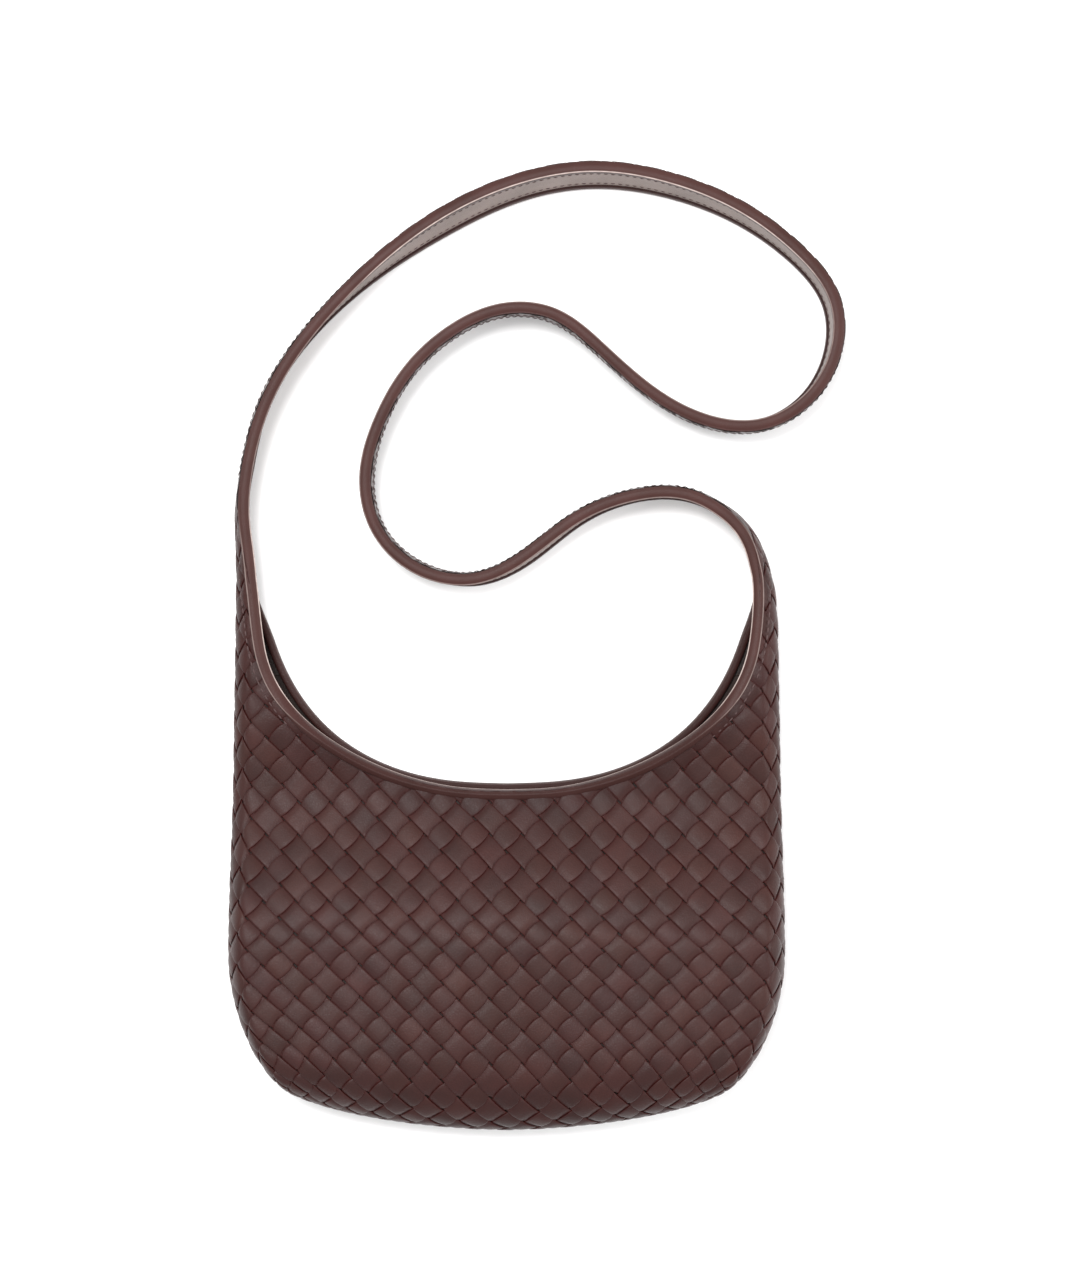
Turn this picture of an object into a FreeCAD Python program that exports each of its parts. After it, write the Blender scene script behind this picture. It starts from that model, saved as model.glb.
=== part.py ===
"""Crossbody purse of woven leather, lying on its back, with its strap laid on edge.

Row frame, millimetres: origin at the middle of the back wall's resting face, +X to the right across
the purse, +Y from the base of the purse towards its mouth and strap, +Z up from the resting surface.
"""

import FreeCAD, Part

import math
import os

from FreeCAD import Vector

# Driving dimensions
HALF_WIDTH = 124.5  # half the widest width of the pouch
BELOW = 76.0  # from the origin to the base of the pouch
CORNER_POWER = 2.8  # superellipse power of the rounded base corners
HORN_Y = 166.0  # where each horn of the pouch ends and the strap begins
HORN_TAPER = 2.5  # how far each side leans in from the belly up to the horn
BELLY_THICK = 42.0  # thickness over the filled lower half
MOUTH_THICK = 20.0  # thickness at the low point of the mouth
STRAP_WIDTH = 25.0  # width of the strap, and so the thickness of the horns

# Rolls of the walls: how far in from the outline the surface is still turning
BASE_ROLL = 34.0
BELLY_ROLL = 24.0
HORN_ROLL = 12.0

# Layers
WEAVE = 2.0
LINING = 0.8
LAYER_GAP = 0.15
WALL = WEAVE + LAYER_GAP + LINING
SINK = 0.4  # how much of the lofted underside is shaved off, to leave a true flat face

# Rolled leather binding round every edge
BINDING_WIDE = 6.0
BINDING_THICK = 5.6
BINDING_END = 1.4  # how far the binding stands past the edge it covers
BACK_BINDING_THICK = 4.6  # over the inner side only, flush with the flat back

# Parting surfaces
SPLIT_Z = STRAP_WIDTH / 2  # between the front half and the back half
HORN_FROM = 92.0  # the horns begin here
KNUCKLE = 13.0  # radius of the rounded strap root
KNUCKLE_GAP = 0.5
KNUCKLE_Z = 12.9
LIP_HINGE_Y = 22.0
LIP_HALF_LOW = 46.0
LIP_HALF_HIGH = 60.0
LIP_GAP = 0.4

# Front and back edges of the mouth, right half: plan points on each smooth curve
FRONT_EDGE = [(0, 74.1), (22, 75.1), (41.6, 78.8), (61.3, 85.8), (80.1, 96.1), (95.7, 109),
              (105.4, 122.6), (110.4, 137.3), (112, 152), (112.3, 170)]
BACK_EDGE = [(0, 75.6), (28.9, 77.3), (56, 84.6), (79.5, 99), (97.4, 120.7), (108.6, 148.3),
             (112, 170)]

# Strap: plan points along the top edge of the band, from the left horn round to the right horn,
# each with the lean of the band in degrees, top edge to the left of the way along it
STRAP_ROUTE = [
    (-116, 151, 0), (-116.6, 166, 0), (-117.2, 182, -2), (-117.3, 200, -6), (-115, 221.5, -7),
    (-108.5, 244, -6), (-96.5, 267, -5.5), (-78.5, 290, -2), (-56.5, 312, 5.5), (-29.5, 332, 12.5),
    (3.5, 347, 12), (38, 353, 11), (72.5, 348, 8.5), (104.5, 335, 6), (129.5, 316.5, 3.5),
    (146.5, 293, 3), (145.5, 267, 3), (133, 248.5, 2), (114, 238.5, 2.5), (88.5, 240.5, 3.5),
    (64, 253.5, 4), (42, 272.5, 3), (20.5, 288, 2), (-1.5, 290, 3), (-25, 280, 3),
    (-44, 262.5, 3.5), (-57, 240, 2.5), (-63.5, 215.5, 0), (-58.5, 191.5, 0), (-40.5, 173.5, -2),
    (-13.5, 169, 1), (10, 180.5, 4), (32, 196.5, 2.5), (57, 206, 0), (80, 206.5, -1), (98, 197, -4),
    (107.2, 185.5, -4), (110.2, 176, -2), (113.2, 166, 0), (114.5, 151, 0)]
STRAP_SAMPLES = 110
STRAP_WEAVE = 2.0
STRAP_CORE = 0.8
STRAP_LINING = 1.0
STRAP_CLEAR = 0.2  # the strap's lowest edge above the resting surface

# Magnetic snap, one disc inside each wall at the middle of the mouth
MAGNET_Y = 62.0
MAGNET_R = 8.5
MAGNET_THICK = 1.8

# Zip pocket on the back lining
POCKET_HALF = 68.0
POCKET_LOW = -40.0
POCKET_HIGH = 46.0
POCKET_FLOOR = 2.75
POCKET_TOP = 6.3
POCKET_SKIN = 0.9
POCKET_CORNER = 9.0
ZIP_Y = 32.0
ZIP_HALF = 58.0
WINDOW_HALF_WIDE = 5.5
TAPE_LOW = 4.6
TAPE_THICK = 0.6
TAPE_WIDE = 10.0
TAPE_EDGE = 0.9  # from the zip's centre line to the edge of the tape
TOOTH_PITCH = 2.6
TOOTH_LONG = 1.0
TOOTH_WIDE = 3.0
TOOTH_PAST = 0.7  # how far a tooth reaches over the centre line
TOOTH_LOW = 4.2
TOOTH_HIGH = 6.7
SLIDER_X = 50.0
SLIDER_LONG = 9.0
SLIDER_HALF_WIDE = 4.2
SLIDER_LOW = 5.5
SLIDER_ROOF = 7.0
SLIDER_TOP = 8.0
PIN_R = 0.8
PIN_Z = 9.6
PULL_CLEAR = 0.08
PULL_LONG = 18.0
PULL_THICK = 1.6
STOP_LONG = 2.4

FAR = 400.0  # larger than the purse


def smooth(t):
    """A step from 0 to 1 with no corner at either end."""
    t = min(max(t, 0.0), 1.0)
    return t * t * (3 - 2 * t)


def thickness(y):
    """Outer thickness of the pouch over the middle of its width, at height y."""
    if y < 75:
        return MOUTH_THICK + (BELLY_THICK - MOUTH_THICK) * (1 - smooth((y - 5) / 70))
    return MOUTH_THICK + (STRAP_WIDTH - MOUTH_THICK) * smooth((y - 75) / 35)


def half_width(y, inset):
    """Half width of the pouch at height y, for a surface inset from the outside."""
    if y < 0:
        share = min(abs(y) / (BELOW - inset), 1.0)
        return (HALF_WIDTH - inset) * (1 - share**CORNER_POWER) ** (1 / CORNER_POWER)
    return HALF_WIDTH - inset - HORN_TAPER * smooth(y / HORN_Y)


def base_rise(y, inset):
    """Share of the full thickness reached at height y, where the base rolls under."""
    roll = BASE_ROLL - inset
    inwards = min((y + BELOW - inset) / roll, 1.0)
    return math.sqrt(1 - (1 - inwards) ** 2)


def side_roll(y, inset):
    """How far in from the side the wall is still turning, at height y."""
    roll = HORN_ROLL + (BELLY_ROLL - HORN_ROLL) * (1 - smooth((y - 20) / 90)) - inset
    return min(roll, 0.85 * half_width(y, inset))


def section(y, inset):
    """Closed curve of the pouch at height y, for a surface inset from the outside."""
    wide, roll = half_width(y, inset), side_roll(y, inset)
    full = thickness(y)
    middle = full / 2
    rise = (middle - inset) * base_rise(y, inset)
    flat = wide - roll
    right = [(flat * k / 3, -rise) for k in range(3)]
    right += [(flat + roll * math.sin(a), -rise * math.cos(a))
              for a in (math.pi * k / 12 for k in range(13))]
    right += [(flat * k / 3, rise) for k in (2, 1, 0)]
    left = [(-x, z) for x, z in reversed(right[1:-1])]
    points = [Vector(x, y, middle + z - SINK * (1 - z / full)) for x, z in right + left]
    curve = Part.BSplineCurve()
    curve.interpolate(Points=points, PeriodicFlag=True)
    return Part.Wire(curve.toShape())


def pouch(inset):
    """Solid pouch, inset from the outside, open-ended past the horns."""
    low = [-BELOW + inset + d for d in (0.2, 1.4, 3.6, 7.5, 13, 20, 30)]
    high = [-28, -8, 12, 30, 46, 60, 75, 90, 108, 130, 150, HORN_Y + 2]
    return Part.makeLoft([section(y, inset) for y in low + high], True)


def block(x0, y0, z0, x1, y1, z1):
    return Part.makeBox(x1 - x0, y1 - y0, z1 - z0, Vector(x0, y0, z0))


def mirrored(points):
    return [(-x, y) for x, y in reversed(points[1:])] + points


def scoop(edge, z0, z1):
    """Everything above a mouth edge, as an upright prism from z0 to z1."""
    curve = Part.BSplineCurve()
    curve.interpolate([Vector(x, y, z0) for x, y in mirrored(edge)])
    start, end = curve.StartPoint, curve.EndPoint
    far_left, far_right = Vector(start.x, FAR, z0), Vector(end.x, FAR, z0)
    sides = [Part.makeLine(end, far_right), Part.makeLine(far_right, far_left),
             Part.makeLine(far_left, start)]
    return Part.Face(Part.Wire([curve.toShape()] + sides)).extrude(Vector(0, 0, z1 - z0))


def knuckle(radius):
    axis_start = Vector(-FAR / 2, HORN_Y, KNUCKLE_Z)
    return Part.makeCylinder(radius, FAR, axis_start, Vector(1, 0, 0))


def strap_room():
    """Space the strap's rounded roots need, lying flat or lifted upright."""
    radius = KNUCKLE + KNUCKLE_GAP
    over = block(-FAR, HORN_Y - radius, KNUCKLE_Z, FAR, FAR, FAR)
    past = block(-FAR, HORN_Y - KNUCKLE / 3, -FAR, FAR, FAR, FAR)
    return knuckle(radius).fuse(over).fuse(past)


def lip_plug(grow):
    """Upright prism through the front wall, round the part of it that lifts."""
    low, high = LIP_HINGE_Y - grow, HORN_FROM
    corners = [(-LIP_HALF_LOW - grow, low), (LIP_HALF_LOW + grow, low),
               (LIP_HALF_HIGH + grow, high), (-LIP_HALF_HIGH - grow, high)]
    outline = Part.makePolygon([Vector(x, y, SPLIT_Z + 0.5) for x, y in corners + corners[:1]])
    return Part.Face(outline).extrude(Vector(0, 0, FAR))


def trimmed_layer(outer, inner):
    """One layer of the pouch, with the mouth, underside and strap knuckles cut."""
    layer = pouch(outer).cut(pouch(inner))
    for tool in (scoop(FRONT_EDGE, SPLIT_Z, FAR), scoop(BACK_EDGE, -FAR, SPLIT_Z),
                 block(-FAR, -FAR, -FAR, FAR, FAR, 0), block(-FAR, HORN_Y, -FAR, FAR, FAR, FAR),
                 strap_room()):
        layer = layer.cut(tool)
    return layer


def layer_nodes(name, outer, inner):
    """A layer parted into front, lifting lip, back and the two horns."""
    layer = trimmed_layer(outer, inner)
    lower = layer.common(block(-FAR, -FAR, -FAR, FAR, HORN_FROM, FAR))
    upper = layer.common(block(-FAR, HORN_FROM, -FAR, FAR, FAR, FAR))
    front = lower.common(block(-FAR, -FAR, SPLIT_Z, FAR, FAR, FAR))
    return {
        name + "_front": front.cut(lip_plug(LIP_GAP)),
        name + "_front_lip": front.common(lip_plug(0)),
        name + "_back": lower.common(block(-FAR, -FAR, -FAR, FAR, FAR, SPLIT_Z)),
        name + "_horn_left": upper.common(block(-FAR, 0, -FAR, 0, FAR, FAR)),
        name + "_horn_right": upper.common(block(0, 0, -FAR, FAR, FAR, FAR)),
    }


def run_through(points, parameters):
    curve = Part.BSplineCurve()
    curve.interpolate(Points=points, Parameters=parameters)
    return curve.toShape()


def swept(centres, across, up, profile):
    """Solid that carries a polygon along a path.

    centres, across and up give each station's middle and two unit directions, and the profile's
    corners are pairs measured along those directions.
    """
    parameters = [float(k) for k in range(len(centres))]
    edges = [run_through([c + a * u + b * v for c, a, b in zip(centres, across, up)], parameters)
             for u, v in profile]
    sides = [Part.makeRuledSurface(edges[k], edges[(k + 1) % len(edges)])
             for k in range(len(edges))]
    ends = []
    for station in (0, -1):
        ring = [centres[station] + across[station] * u + up[station] * v for u, v in profile]
        ends.append(Part.Face(Part.makePolygon(ring + ring[:1])))
    shell = Part.makeShell(sides + ends)
    shell.sewShape()
    solid = Part.makeSolid(Part.Shell(shell.Faces))
    if solid.Volume < 0:
        solid.reverse()
    return solid


def rectangle(u0, u1, v0, v1):
    return [(u0, v0), (u1, v0), (u1, v1), (u0, v1)]


def channel(half_wide, far, mouth, floor, half_slot):
    """U-shaped profile, closed at v=far and open at v=mouth."""
    return [(-half_wide, mouth), (-half_wide, far), (half_wide, far), (half_wide, mouth),
            (half_slot, mouth), (half_slot, floor), (-half_slot, floor), (-half_slot, mouth)]


def wall_height(x, y, inset, side):
    """Height of the wall surface over plan point x, y: side is +1 at the front, -1 at the back."""
    wide, roll = half_width(y, inset), side_roll(y, inset)
    full = thickness(y)
    rise = (full / 2 - inset) * base_rise(y, inset)
    past = max(abs(x) - (wide - roll), 0.0) / roll
    z = side * rise * math.sqrt(max(1 - past * past, 0.0))
    return full / 2 + z - SINK * (1 - z / full)


def wall_normal(x, y, side):
    """Outward normal of the middle of the wall over plan point x, y."""
    step = 0.4
    dx = wall_height(x + step, y, WALL / 2, side) - wall_height(x - step, y, WALL / 2, side)
    dy = wall_height(x, y + step, WALL / 2, side) - wall_height(x, y - step, WALL / 2, side)
    normal = Vector(-dx / (2 * step), -dy / (2 * step), 1) * side
    return normal.normalize()


def mouth_binding(edge, side, profile, lift, x_from, x_to, stations):
    """Binding over a mouth edge, between two places along its plan curve."""
    curve = Part.BSplineCurve()
    curve.interpolate([Vector(x, y, 0) for x, y in mirrored(edge)])
    first, last = (curve.parameter(Vector(x, y, 0)) for x, y in (x_from, x_to))
    centres, across, up = [], [], []
    for k in range(stations + 1):
        at = first + (last - first) * k / stations
        plan, along = curve.value(at), curve.tangent(at)[0]
        normal = wall_normal(plan.x, plan.y, side)
        along = (along - normal * along.dot(normal)).normalize()
        height = wall_height(plan.x, plan.y, WALL / 2, side)
        centres.append(Vector(plan.x, plan.y, max(height, lift)))
        across.append(normal)
        up.append(normal.cross(along) * side)
    return swept(centres, across, up, profile).cut(strap_room())


def binding_nodes():
    """Front binding in three runs, so that the lip can lift, and back binding in one."""
    mouth = BINDING_END - BINDING_WIDE
    front = channel(BINDING_THICK / 2, BINDING_END, mouth, 0.2, WALL / 2 + 0.1)
    bar = mouth_binding(FRONT_EDGE, 1, front, 0, (-112.3, 170), (112.3, 170), 60)
    sides = bar.cut(lip_plug(LIP_GAP))
    half, sink = BACK_BINDING_THICK / 2, 0.3
    back = [(-half, mouth), (-half, BINDING_END), (half, BINDING_END), (half, 0.2),
            (half - WALL + sink, 0.2), (half - WALL + sink, mouth)]
    return {
        "binding_front_lip": bar.common(lip_plug(0)),
        "binding_front_left": sides.common(block(-FAR, -FAR, 0, 0, FAR, FAR)),
        "binding_front_right": sides.common(block(0, -FAR, 0, FAR, FAR, FAR)),
        "binding_back": mouth_binding(BACK_EDGE, -1, back, half + 0.05, (-112, 170), (112, 170), 60),
    }


def magnet(side):
    """Disc of the snap, lying on the lining of the front (+1) or back (-1) wall."""
    normal = wall_normal(0, MAGNET_Y, side)
    middle = Vector(0, MAGNET_Y, wall_height(0, MAGNET_Y, WALL / 2, side))
    base = middle - normal * (WALL / 2 + 0.1)
    return Part.makeCylinder(MAGNET_R, MAGNET_THICK, base, normal * -1)


def strap_stations():
    """Middle, facing direction and width direction of the strap at each station."""
    curve = Part.BSplineCurve()
    curve.interpolate([Vector(x, y, 0) for x, y, _ in STRAP_ROUTE])
    marks = [curve.parameter(Vector(x, y, 0)) for x, y, _ in STRAP_ROUTE]
    first, last = curve.FirstParameter, curve.LastParameter
    centres, across, up = [], [], []
    for k in range(STRAP_SAMPLES + 1):
        at = first + (last - first) * k / STRAP_SAMPLES
        span = max(i for i in range(len(marks) - 1) if marks[i] <= at + 1e-9)
        share = smooth((at - marks[span]) / (marks[span + 1] - marks[span]))
        lean = math.radians(STRAP_ROUTE[span][2] * (1 - share) + STRAP_ROUTE[span + 1][2] * share)
        along = curve.tangent(at)[0]
        left = Vector(-along.y, along.x, 0)
        plan = curve.value(at) - left * (STRAP_WIDTH / 2 * math.sin(lean))
        reach = STRAP_WIDTH / 2 * math.cos(lean) + BINDING_THICK / 2 * abs(math.sin(lean))
        centres.append(Vector(plan.x, plan.y, STRAP_CLEAR + reach))
        across.append(left * math.cos(lean) - Vector(0, 0, 1) * math.sin(lean))
        up.append(Vector(0, 0, 1) * math.cos(lean) + left * math.sin(lean))
    return centres, across, up


def rooted(solid):
    """The strap with its ends rounded to turn in the ends of the horns."""
    sides = block(-FAR, 0, -FAR, -95, HORN_Y, FAR).fuse(block(95, 0, -FAR, FAR, HORN_Y, FAR))
    return solid.cut(sides.cut(knuckle(KNUCKLE)))


def strap_nodes():
    centres, across, up = strap_stations()
    total = STRAP_WEAVE + STRAP_CORE + STRAP_LINING + 2 * LAYER_GAP
    half = STRAP_WIDTH / 2
    band = half - BINDING_END  # the layers stop inside the binding
    outer = total / 2
    weave_to = outer - STRAP_WEAVE
    core_from = weave_to - LAYER_GAP
    core_to = core_from - STRAP_CORE
    lining_from = core_to - LAYER_GAP
    profiles = {
        "weave_strap": rectangle(weave_to, outer, -band, band),
        "strap_core": rectangle(core_to, core_from, -band + 1, band - 1),
        "lining_strap": rectangle(-outer, lining_from, -band, band),
    }
    slot = outer + 0.1
    profiles["binding_strap_top"] = channel(
        BINDING_THICK / 2, half, half - BINDING_WIDE, band + 0.1, slot)
    profiles["binding_strap_bottom"] = channel(
        BINDING_THICK / 2, -half, -half + BINDING_WIDE, -band - 0.1, slot)
    return {name: rooted(swept(centres, across, up, profile))
            for name, profile in profiles.items()}


def rounded_plate(x0, y0, z0, x1, y1, z1, radius):
    plate = block(x0, y0, z0, x1, y1, z1)
    corners = [e for e in plate.Edges
               if abs(e.Vertexes[0].X - e.Vertexes[1].X) < 1e-6
               and abs(e.Vertexes[0].Y - e.Vertexes[1].Y) < 1e-6]
    return plate.makeFillet(radius, corners)


def pocket_panel():
    """Leather pocket face with a rim down to the lining and a long window for the zip."""
    outer = rounded_plate(-POCKET_HALF, POCKET_LOW, POCKET_FLOOR, POCKET_HALF, POCKET_HIGH,
                          POCKET_TOP, POCKET_CORNER)
    hollow = rounded_plate(-POCKET_HALF + POCKET_SKIN, POCKET_LOW + POCKET_SKIN, POCKET_FLOOR,
                           POCKET_HALF - POCKET_SKIN, POCKET_HIGH - POCKET_SKIN,
                           POCKET_TOP - POCKET_SKIN, POCKET_CORNER - POCKET_SKIN)
    window = rounded_plate(-ZIP_HALF - 2, ZIP_Y - WINDOW_HALF_WIDE, POCKET_FLOOR, ZIP_HALF + 2,
                           ZIP_Y + WINDOW_HALF_WIDE, POCKET_TOP + 1, 2.0)
    return outer.cut(hollow).cut(window)


def zip_tape(side):
    """One woven tape of the zip, on the +Y side or the -Y side of the teeth."""
    near, far = sorted((ZIP_Y + side * TAPE_EDGE, ZIP_Y + side * (TAPE_EDGE + TAPE_WIDE)))
    return block(-ZIP_HALF - 5, near, TAPE_LOW, ZIP_HALF + 5, far, TAPE_LOW + TAPE_THICK)


def zip_teeth(side):
    """One row of teeth that clasp the edge of their tape and reach past the centre line."""
    start = -ZIP_HALF + 1 + (TOOTH_PITCH / 2 if side > 0 else 0)
    count = int((2 * ZIP_HALF - 4) / TOOTH_PITCH)
    near, far = sorted((ZIP_Y - side * TOOTH_PAST, ZIP_Y + side * (TOOTH_WIDE - TOOTH_PAST)))
    teeth = []
    for k in range(count):
        x = start + k * TOOTH_PITCH
        teeth.append(block(x, near, TOOTH_LOW, x + TOOTH_LONG, far, TOOTH_HIGH))
    return Part.makeCompound(teeth).cut(zip_tape(side))


def zip_stops():
    """End stops clamped over both tapes, one at each end of the teeth."""
    stops = []
    for x in (-ZIP_HALF - STOP_LONG + 0.6, ZIP_HALF - 1.2):
        stop = block(x, ZIP_Y - 2.4, TOOTH_LOW - 0.2, x + STOP_LONG, ZIP_Y + 2.4, TOOTH_HIGH)
        stops.append(stop.cut(zip_tape(1)).cut(zip_tape(-1)))
    return Part.makeCompound(stops)


def zip_slider():
    """Slider body that straddles the teeth, with a lug for the pull on top."""
    x0, x1 = SLIDER_X - SLIDER_LONG / 2, SLIDER_X + SLIDER_LONG / 2
    body = rounded_plate(x0, ZIP_Y - SLIDER_HALF_WIDE, SLIDER_LOW, x1, ZIP_Y + SLIDER_HALF_WIDE,
                         SLIDER_TOP, 1.6)
    groove = block(x0 - 1, ZIP_Y - TOOTH_WIDE, SLIDER_LOW - 1, x1 + 1, ZIP_Y + TOOTH_WIDE,
                   SLIDER_ROOF)
    lug = block(SLIDER_X - 1.8, ZIP_Y - 1.0, SLIDER_TOP, SLIDER_X + 1.8, ZIP_Y + 1.0, PIN_Z)
    crown = Part.makeCylinder(1.8, 2.0, Vector(SLIDER_X, ZIP_Y - 1.0, PIN_Z), Vector(0, 1, 0))
    bore = Part.makeCylinder(PIN_R, 3.0, Vector(SLIDER_X, ZIP_Y - 1.5, PIN_Z), Vector(0, 1, 0))
    return body.cut(groove).fuse(lug).fuse(crown).cut(bore)


def zip_pin():
    return Part.makeCylinder(PIN_R, 6.0, Vector(SLIDER_X, ZIP_Y - 3.0, PIN_Z), Vector(0, 1, 0))


def zip_pull():
    """Pull tab with a forked end that turns on the pin."""
    z0, z1 = PIN_Z - PULL_THICK / 2, PIN_Z + PULL_THICK / 2
    tab = rounded_plate(SLIDER_X - PULL_LONG, ZIP_Y - 3.4, z0, SLIDER_X - 3.2, ZIP_Y + 3.4, z1, 2.2)
    for side in (-1, 1):
        near, far = sorted((ZIP_Y + side * 1.15, ZIP_Y + side * 2.9))
        arm = block(SLIDER_X - 4.5, near, z0, SLIDER_X, far, z1)
        eye = Part.makeCylinder(1.55, far - near, Vector(SLIDER_X, near, PIN_Z), Vector(0, 1, 0))
        tab = tab.fuse(arm).fuse(eye)
    hole = Part.makeCylinder(PIN_R + PULL_CLEAR, 8, Vector(SLIDER_X, ZIP_Y - 4, PIN_Z),
                             Vector(0, 1, 0))
    return tab.cut(hole)


def main():
    nodes = {}
    nodes.update(layer_nodes("weave", 0.0, WEAVE))
    nodes.update(layer_nodes("lining", WEAVE + LAYER_GAP, WALL))
    nodes.update(binding_nodes())
    nodes.update(strap_nodes())
    nodes["magnet_front"] = magnet(1)
    nodes["magnet_back"] = magnet(-1)
    nodes["pocket_panel"] = pocket_panel()
    nodes["zip_tape_upper"] = zip_tape(1)
    nodes["zip_tape_lower"] = zip_tape(-1)
    nodes["zip_teeth_upper"] = zip_teeth(1)
    nodes["zip_teeth_lower"] = zip_teeth(-1)
    nodes["zip_stops"] = zip_stops()
    nodes["zip_slider"] = zip_slider()
    nodes["zip_pin"] = zip_pin()
    nodes["zip_pull"] = zip_pull()
    os.makedirs("parts", exist_ok=True)
    for name, shape in nodes.items():
        solids = shape.Solids
        print(f"{name}: {len(solids)} solids, {shape.Volume:.0f} mm3, valid {shape.isValid()}")
        shape.exportStep(f"parts/{name}.step")


main()
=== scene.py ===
import math

import bmesh
import bpy
import numpy as np
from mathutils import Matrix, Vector


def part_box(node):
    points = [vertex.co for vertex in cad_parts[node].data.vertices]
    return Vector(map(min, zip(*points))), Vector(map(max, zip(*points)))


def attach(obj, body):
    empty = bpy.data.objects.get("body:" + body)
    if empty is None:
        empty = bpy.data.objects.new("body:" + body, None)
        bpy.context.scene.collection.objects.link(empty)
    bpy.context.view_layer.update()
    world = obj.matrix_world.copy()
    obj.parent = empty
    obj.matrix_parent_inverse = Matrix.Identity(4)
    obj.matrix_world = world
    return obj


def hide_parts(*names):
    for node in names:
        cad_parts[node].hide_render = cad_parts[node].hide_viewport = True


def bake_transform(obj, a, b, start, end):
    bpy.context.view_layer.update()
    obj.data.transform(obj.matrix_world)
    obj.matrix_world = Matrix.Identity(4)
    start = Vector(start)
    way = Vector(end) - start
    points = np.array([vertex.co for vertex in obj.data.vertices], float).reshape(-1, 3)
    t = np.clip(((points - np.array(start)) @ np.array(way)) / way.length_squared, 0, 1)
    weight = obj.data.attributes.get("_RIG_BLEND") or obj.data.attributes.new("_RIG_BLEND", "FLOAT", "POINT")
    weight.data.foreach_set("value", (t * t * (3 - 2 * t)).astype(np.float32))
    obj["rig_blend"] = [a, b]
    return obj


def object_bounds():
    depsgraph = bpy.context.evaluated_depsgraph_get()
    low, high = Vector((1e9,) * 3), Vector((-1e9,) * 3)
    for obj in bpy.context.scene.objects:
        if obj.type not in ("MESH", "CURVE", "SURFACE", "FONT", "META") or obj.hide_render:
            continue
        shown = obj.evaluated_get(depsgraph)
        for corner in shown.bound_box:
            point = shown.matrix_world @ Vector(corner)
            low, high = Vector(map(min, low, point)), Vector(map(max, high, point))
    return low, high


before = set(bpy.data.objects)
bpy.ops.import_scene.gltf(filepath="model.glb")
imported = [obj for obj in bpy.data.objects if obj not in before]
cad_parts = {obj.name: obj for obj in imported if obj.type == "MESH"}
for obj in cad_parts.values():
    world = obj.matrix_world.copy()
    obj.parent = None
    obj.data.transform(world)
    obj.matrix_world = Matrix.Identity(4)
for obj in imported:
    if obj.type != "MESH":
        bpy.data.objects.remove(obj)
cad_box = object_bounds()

MM = 0.001
RNG = np.random.default_rng(20)

# ---------------- camera
camera_data = bpy.data.cameras.new("camera")
camera = bpy.data.objects.new("camera", camera_data)
bpy.context.collection.objects.link(camera)
bpy.context.scene.camera = camera
camera_data.lens = 100.0
camera_data.sensor_width = 36.0
camera.location = (0.0149, 0.1418, 1.612)
camera.rotation_euler = (0, 0, 0)

# ---------------- sizes, in mm, from the CAD nodes
front_lo, front_hi = (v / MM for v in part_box("weave_front"))
HALF_WIDTH = front_hi.x
BASE = -front_lo.y + 1.6
BELLY = front_hi.z
STRAP_WIDTH = (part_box("binding_strap_top")[1] / MM).z - (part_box("binding_strap_bottom")[0] / MM).z
MOUTH = 20.0  # thickness of the pouch at the mouth
BASE_ROLL, SIDE_ROLL = 34.0, 9.0  # how far in from the outline the walls begin to turn
WALL = 2.95  # weave and lining of the pouch
LINING_TOP = 2.15  # from the surface of the weave down to the lining
BAND = 5.0  # weave, tape and lining of the strap
STRAP_LINING = 1.0
SKIN = 3.7  # the strap's woven face, from the middle of its bound edges
BINDING_THICK, BINDING_END, ROLL_DEEP = 5.1, 1.4, 3.9  # width, reach past the edge, depth
STITCH_FROM, STITCH = 6.2, 3.3  # from the top of the binding down to the stitches, and their pitch
TABLE_GAP = 0.2  # the strap lies this far above the table

# Heights in plan where one thing gives way to the next
EDGE_FROM_Y = 60.0  # no bound edge lies lower
STRIPS_Y = 112.0  # the horns' strips begin
SPLIT_Y = 126.0  # the horns' bindings and linings begin
HORN_Y = 166.0  # top of the horns
ROOT_LOW, ROOT_HIGH = 140.0, 208.0  # the horn turns into the strap
RIGID_Y = 204.0  # the strap is rigid from here on

# Lattice of the weave: half-diagonals of a cell, from the middle to the side, and up from the base
COLUMNS = 19
UNIT = 7.15
FACE = 16  # columns on the face of the wall, PITCH apart
PITCH = 7.17
STATION = 0.33  # spacing of stations along an edge or a sheet, in lattice units
STRIPS = 400  # strips that may run each way

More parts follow.
